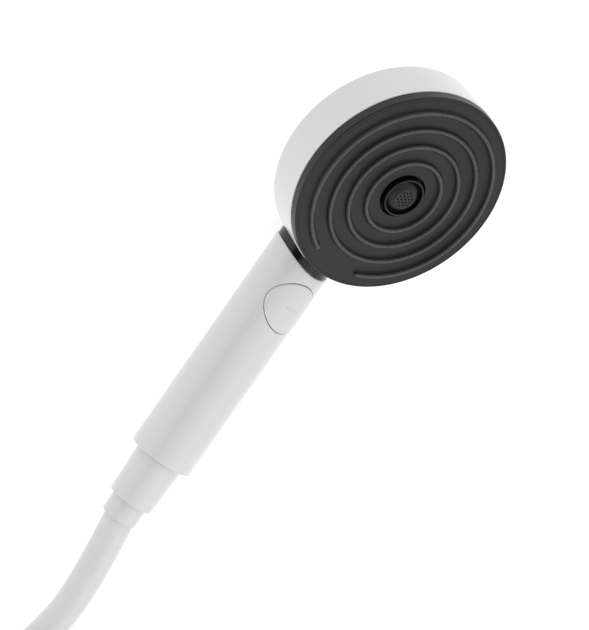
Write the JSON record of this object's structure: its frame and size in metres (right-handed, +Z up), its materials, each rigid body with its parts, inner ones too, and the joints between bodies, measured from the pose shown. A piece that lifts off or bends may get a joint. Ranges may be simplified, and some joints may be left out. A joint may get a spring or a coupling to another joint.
{
  "type": "hand shower",
  "caption": "Hand shower with a round multi-ring spray head, a straight handle with a select button, and a coiled hose with a conical nut and an end nut.",
  "frame": {"origin": "centre of the handset's footprint on the ground, without the hose; the handset lies with the spray face up", "axes": "+X along the handle from the foot towards the head, +Y across it, +Z up, the side the spray face and the button are on"},
  "size_m": [0.5407, 0.2055, 0.0622],
  "materials": {
    "white_plastic": "satin gloss, smooth moulded",
    "hose_plastic": "smooth gloss PVC",
    "black_plastic": "satin, fine moulded grain",
    "grey_rubber": "matt soft silicone",
    "cream_plastic": "natural unpainted moulding",
    "seal_rubber": "matt rubber",
    "steel": "bare stainless",
    "brass": "turned"
  },
  "bodies": {
    "handset": {"head_shell": "white_plastic", "spray_plate": "black_plastic", "spray_ring_1": "grey_rubber", "spray_ring_2": "grey_rubber", "spray_ring_3": "grey_rubber", "spray_ring_4": "grey_rubber", "centre_rim": "black_plastic", "centre_nozzle": "black_plastic", "plate_seal": "seal_rubber", "chamber_disc": "cream_plastic", "manifold": "white_plastic", "manifold_screws": "steel", "manifold_seal": "seal_rubber", "socket_seals": "seal_rubber", "neck_collar": "black_plastic", "collar_clip": "steel", "handle_shell": "white_plastic", "water_tube": "cream_plastic", "inlet_nipple": "white_plastic", "nipple_seal": "seal_rubber", "inlet_strainer": "steel", "flow_regulator": "cream_plastic", "check_cage": "cream_plastic", "check_spring": "steel", "button_spring": "steel", "valve_guide": "cream_plastic", "guide_seal": "seal_rubber", "valve_screws": "steel", "diverter_seat": "white_plastic", "diverter_seal": "seal_rubber", "hose_washer": "seal_rubber", "hose_barb": "brass", "near_sleeve": "white_plastic", "hose_lead": "hose_plastic", "hose_coil": "hose_plastic", "hose_upper_turn": "hose_plastic", "hose_tail": "hose_plastic", "far_sleeve": "white_plastic", "far_barb": "brass", "far_washer": "seal_rubber"},
    "button": {"button_cap": "white_plastic", "button_plunger": "black_plastic"},
    "rotor": {"diverter_rotor": "black_plastic"},
    "poppet": {"check_poppet": "black_plastic"},
    "conical_nut": {"cone_nut": "white_plastic"},
    "end_nut": {"far_nut": "white_plastic"}
  },
  "joints": [
    {"name": "button_press", "type": "slide", "parent": "handset", "child": "button", "axis": [0, 0, -1], "range_m": [0, 0.0025], "stiffness_N_per_m": 800, "springref_m": -0.002, "deforming": ["button_spring"]},
    {"name": "selector_turn", "type": "hinge", "parent": "handset", "child": "rotor", "pos_m": [-0.01193, 0, 0.0112], "axis": [0, 0, 1], "range_deg": [-1, 121]},
    {"name": "check_lift", "type": "slide", "parent": "handset", "child": "poppet", "axis": [1, 0, 0], "range_m": [0, 0.0025], "stiffness_N_per_m": 200, "springref_m": -0.001, "deforming": ["check_spring"]},
    {"name": "conical_nut_spin", "type": "hinge", "parent": "handset", "child": "conical_nut", "pos_m": [-0.11728, 0, 0.016], "axis": [1, 0, 0], "continuous": true},
    {"name": "end_nut_spin", "type": "hinge", "parent": "handset", "child": "end_nut", "pos_m": [-0.25725, -0.00248, 0.02845], "axis": [-0.503, 0.8643, 0], "continuous": true}
  ],
  "couplings": [
    {"joint": "selector_turn", "follows": "button_press", "rad_per_m": 837.75}
  ]
}
